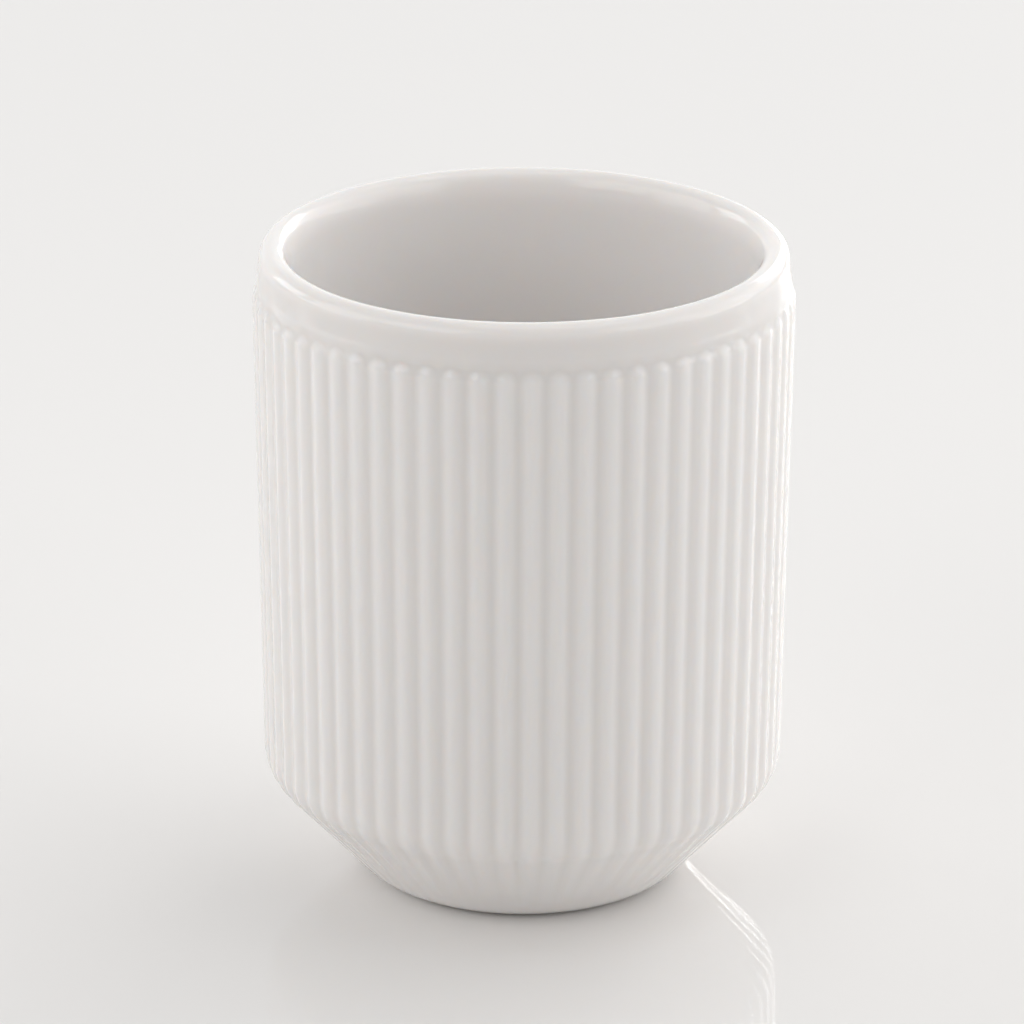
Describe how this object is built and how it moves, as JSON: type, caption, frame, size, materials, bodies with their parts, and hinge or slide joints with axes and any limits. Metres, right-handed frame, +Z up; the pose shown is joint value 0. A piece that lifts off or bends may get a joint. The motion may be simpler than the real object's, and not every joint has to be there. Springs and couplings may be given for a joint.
{
  "type": "pen holder cup",
  "caption": "Round porcelain cup with a rounded lip, a fluted wall of round-headed upright ribs, a cone-shaped base and a narrow foot ring, open at the top.",
  "frame": {"origin": "centre of the foot ring, on the surface that the cup stands on", "axes": "+Z up along the cup's axis, out of the mouth; +X through the middle of a rib"},
  "size_m": [0.084, 0.084, 0.1031],
  "materials": {
    "glazed_porcelain": "glossy clear glaze over warm white porcelain; the foot ring is bare and matt"
  },
  "bodies": {
    "root": {"cup_body": "glazed_porcelain"}
  },
  "joints": []
}
